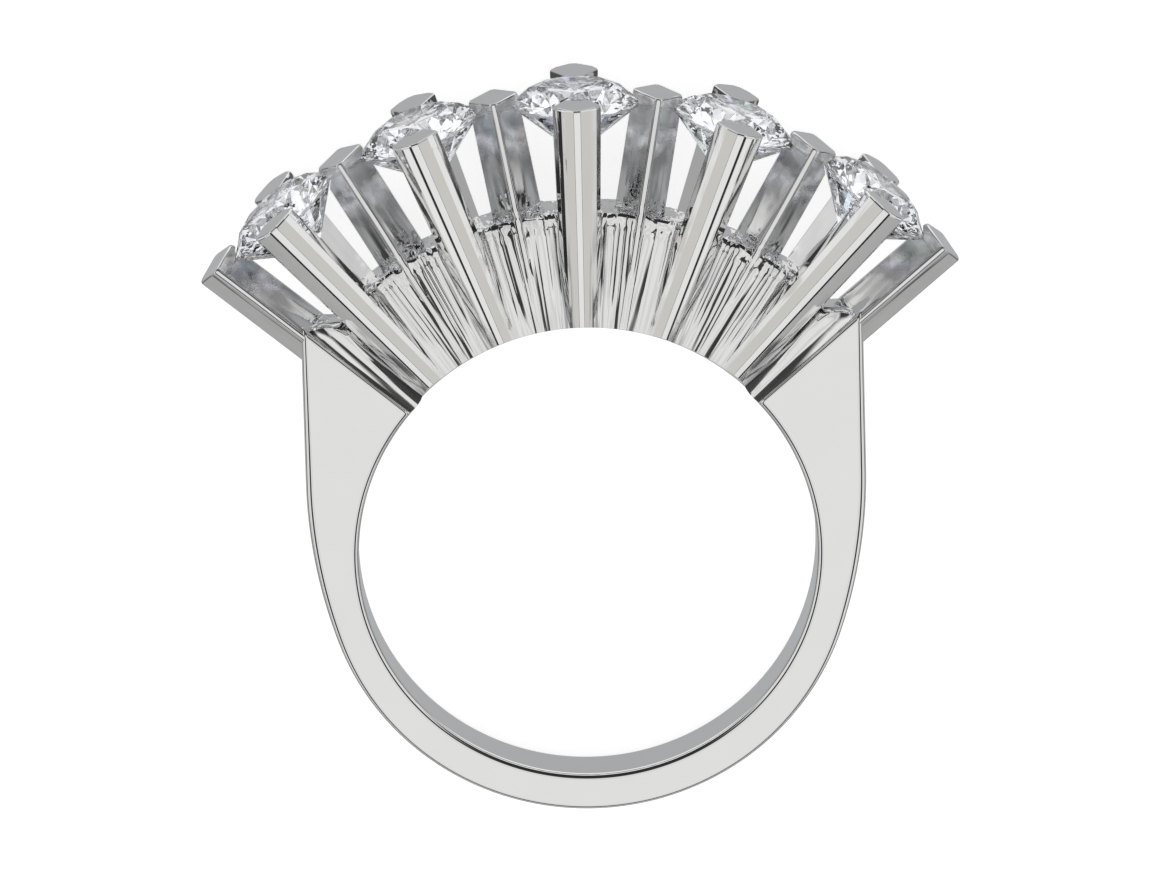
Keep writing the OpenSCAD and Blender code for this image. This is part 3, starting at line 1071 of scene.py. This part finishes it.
TENT_FOOT = TENT_FRONT + (
    (63, 0.95), (69, 0.9), (71, 0.1), (74, 0.1), (76, 0.46), (108, 0.46), (111, 0.12),
    (113, 0.12), (116, 0.44), (135, COOL_GREY), (180, COOL_GREY))
TENT_HIGH = TENT_FRONT[:-1] + (
    (88, 0.03), (91, 1.0), (99, 1.0), (101, 0.42), (107, 0.42), (110, 0.12), (113, 0.12),
    (116, 0.95), (138, 0.95), (144, 0.46), (180, 0.46))
# How much of the white the stones gather from each angle: dark strips keep facets crisp.
TENT_STONES = (
    (0, 1.0), (37, 1.0), (39, 0.02), (50, 0.02), (52, 1.0), (100, 1.0), (102, 0.1),
    (107, 0.1), (109, 1.0), (150, 1.0), (152, 0.05), (158, 0.05), (160, 1.0), (180, 1.0))


def build_tent(studio):
    """Soft light tent with dark strips, which draw the edges of polished metal."""
    world = bpy.data.worlds.new("light_tent")
    bpy.context.scene.world = world
    world.use_nodes = True
    bench = Bench(world.node_tree)
    ray = bench.add("ShaderNodeTexCoord").out("Generated")

    def along(across, up, forward):
        turn = Matrix.Rotation(REST_TILT, 3, "X")
        return dot(bench, ray, tuple(turn @ Vector((across, up, forward)).normalized()))

    key = bench.add("ShaderNodeMath", {"operation": "ARCCOSINE"},
                    {0: along(0, -0.26, 0.966)}).signal()

    def tent_ramp(stops):
        return bench.add("ShaderNodeValToRGB", {"stops": [(a / 180, v) for a, v in stops]},
                         {0: key / math.pi}).out("Color")

    down, to_left = along(0, -1, 0), along(-1, 0, 0)
    low, foot, high = down.step(0.58, 0.72), down.step(0.8, 0.88), along(0, 1, 0).step(0.45, 0.6)
    tent = mix_colours(bench, low, tent_ramp(TENT_SIDES), tent_ramp(TENT_LOW))
    tent = mix_colours(bench, foot, tent, tent_ramp(TENT_FOOT))
    warm = key.arc_step(70, 76) * key.arc_fall(82, 84) * (1 - low)
    tent = mix_colours(bench, warm, tent, WARM_GREY)
    strip = to_left.step(0.5, 0.7) * down.step(0.3, 0.42) * (1 - low)
    strip = strip * key.arc_step(82, 83.5) * key.arc_fall(88, 89.5)
    tent = mix_colours(bench, strip, tent, STRIP_BLACK)
    tent = mix_colours(bench, high, tent, tent_ramp(TENT_HIGH))
    path = bench.add("ShaderNodeLightPath")
    through = path.signal("Transmission Depth").step(0.2, 0.8)
    through = through * (0.25 + 0.6 * path.signal("Is Transmission Ray"))
    gathered = mix_colours(bench, tent_ramp(TENT_STONES), *GATHERED)
    tent = mix_colours(bench, through, tent, gathered)
    tent = mix_colours(bench, path.signal("Is Camera Ray"), tent, WHITE)
    light = bench.add("ShaderNodeBackground", None,
                      {"Color": tent, "Strength": studio.light})
    bench.add("ShaderNodeOutputWorld", None, {"Surface": light.out()})


def set_light_bounces():
    """Enough bounces for light to find its way through the stones; colours as they are."""
    scene = bpy.context.scene
    scene.view_settings.view_transform = "Standard"
    scene.view_settings.look = "None"
    scene.cycles.max_bounces = 24
    scene.cycles.glossy_bounces = 12
    scene.cycles.transmission_bounces = 24
    scene.cycles.transparent_max_bounces = 12
    scene.cycles.caustics_reflective = False
    scene.cycles.caustics_refractive = False


# Operators and panel

class RING_OT_studio(bpy.types.Operator):
    """Sets up the pale floor, the light tent and the camera"""
    bl_idname = "ring.studio"
    bl_label = "Studio"

    def execute(self, context):
        build_camera()
        build_floor(context.scene.ring_studio)
        build_tent(context.scene.ring_studio)
        set_light_bounces()
        return {"FINISHED"}


class RING_OT_band(bpy.types.Operator):
    """Builds the flat-faced band with its finely bevelled edges"""
    bl_idname = "ring.band"
    bl_label = "Band"

    def execute(self, context):
        finish = context.scene.ring_finish
        build_band(context.scene.ring_sizes, band_metal(finish))
        return {"FINISHED"}


class RING_OT_fan(bpy.types.Operator):
    """Builds the fan of bars and the fluted web as one solid"""
    bl_idname = "ring.fan"
    bl_label = "Fan of bars"

    def execute(self, context):
        finish = context.scene.ring_finish
        build_fan(context.scene.ring_sizes, fan_metal(finish))
        return {"FINISHED"}


class RING_OT_stones(bpy.types.Operator):
    """Cuts the five round brilliants and sets them between the bars"""
    bl_idname = "ring.stones"
    bl_label = "Stones"

    def execute(self, context):
        material = clear_stone(context.scene.ring_finish)
        for index in range(len(STONE_BEARINGS)):
            build_stone(index, context.scene.ring_sizes, material)
        return {"FINISHED"}


OPERATORS = (RING_OT_studio, RING_OT_band, RING_OT_fan, RING_OT_stones)


class RING_PT_panel(bpy.types.Panel):
    """Lists the ring's sizes, finishes and pieces"""
    bl_idname = "RING_PT_panel"
    bl_label = "Five-stone ring"
    bl_space_type = "VIEW_3D"
    bl_region_type = "UI"
    bl_category = "Ring"

    def draw(self, context):
        layout = self.layout
        for group in ("ring_sizes", "ring_finish", "ring_studio"):
            settings = getattr(context.scene, group)
            box = layout.box()
            for name in settings.bl_rna.properties.keys():
                if name not in ("rna_type", "name"):
                    box.prop(settings, name)
        for operator in OPERATORS:
            layout.operator(operator.bl_idname)


GROUPS = {"ring_sizes": RingSizes, "ring_finish": RingFinish, "ring_studio": RingStudio}


def register():
    for group in GROUPS.values():
        bpy.utils.register_class(group)
    for operator in OPERATORS:
        bpy.utils.register_class(operator)
    bpy.utils.register_class(RING_PT_panel)
    for name, group in GROUPS.items():
        setattr(bpy.types.Scene, name, PointerProperty(type=group))


def unregister():
    for name in GROUPS:
        delattr(bpy.types.Scene, name)
    bpy.utils.unregister_class(RING_PT_panel)
    for operator in reversed(OPERATORS):
        bpy.utils.unregister_class(operator)
    for group in reversed(GROUPS.values()):
        bpy.utils.unregister_class(group)


def main():
    """Builds the studio and every piece."""
    register()
    bpy.ops.ring.studio()
    bpy.ops.ring.band()
    bpy.ops.ring.fan()
    bpy.ops.ring.stones()


if __name__ == "__main__":
    main()
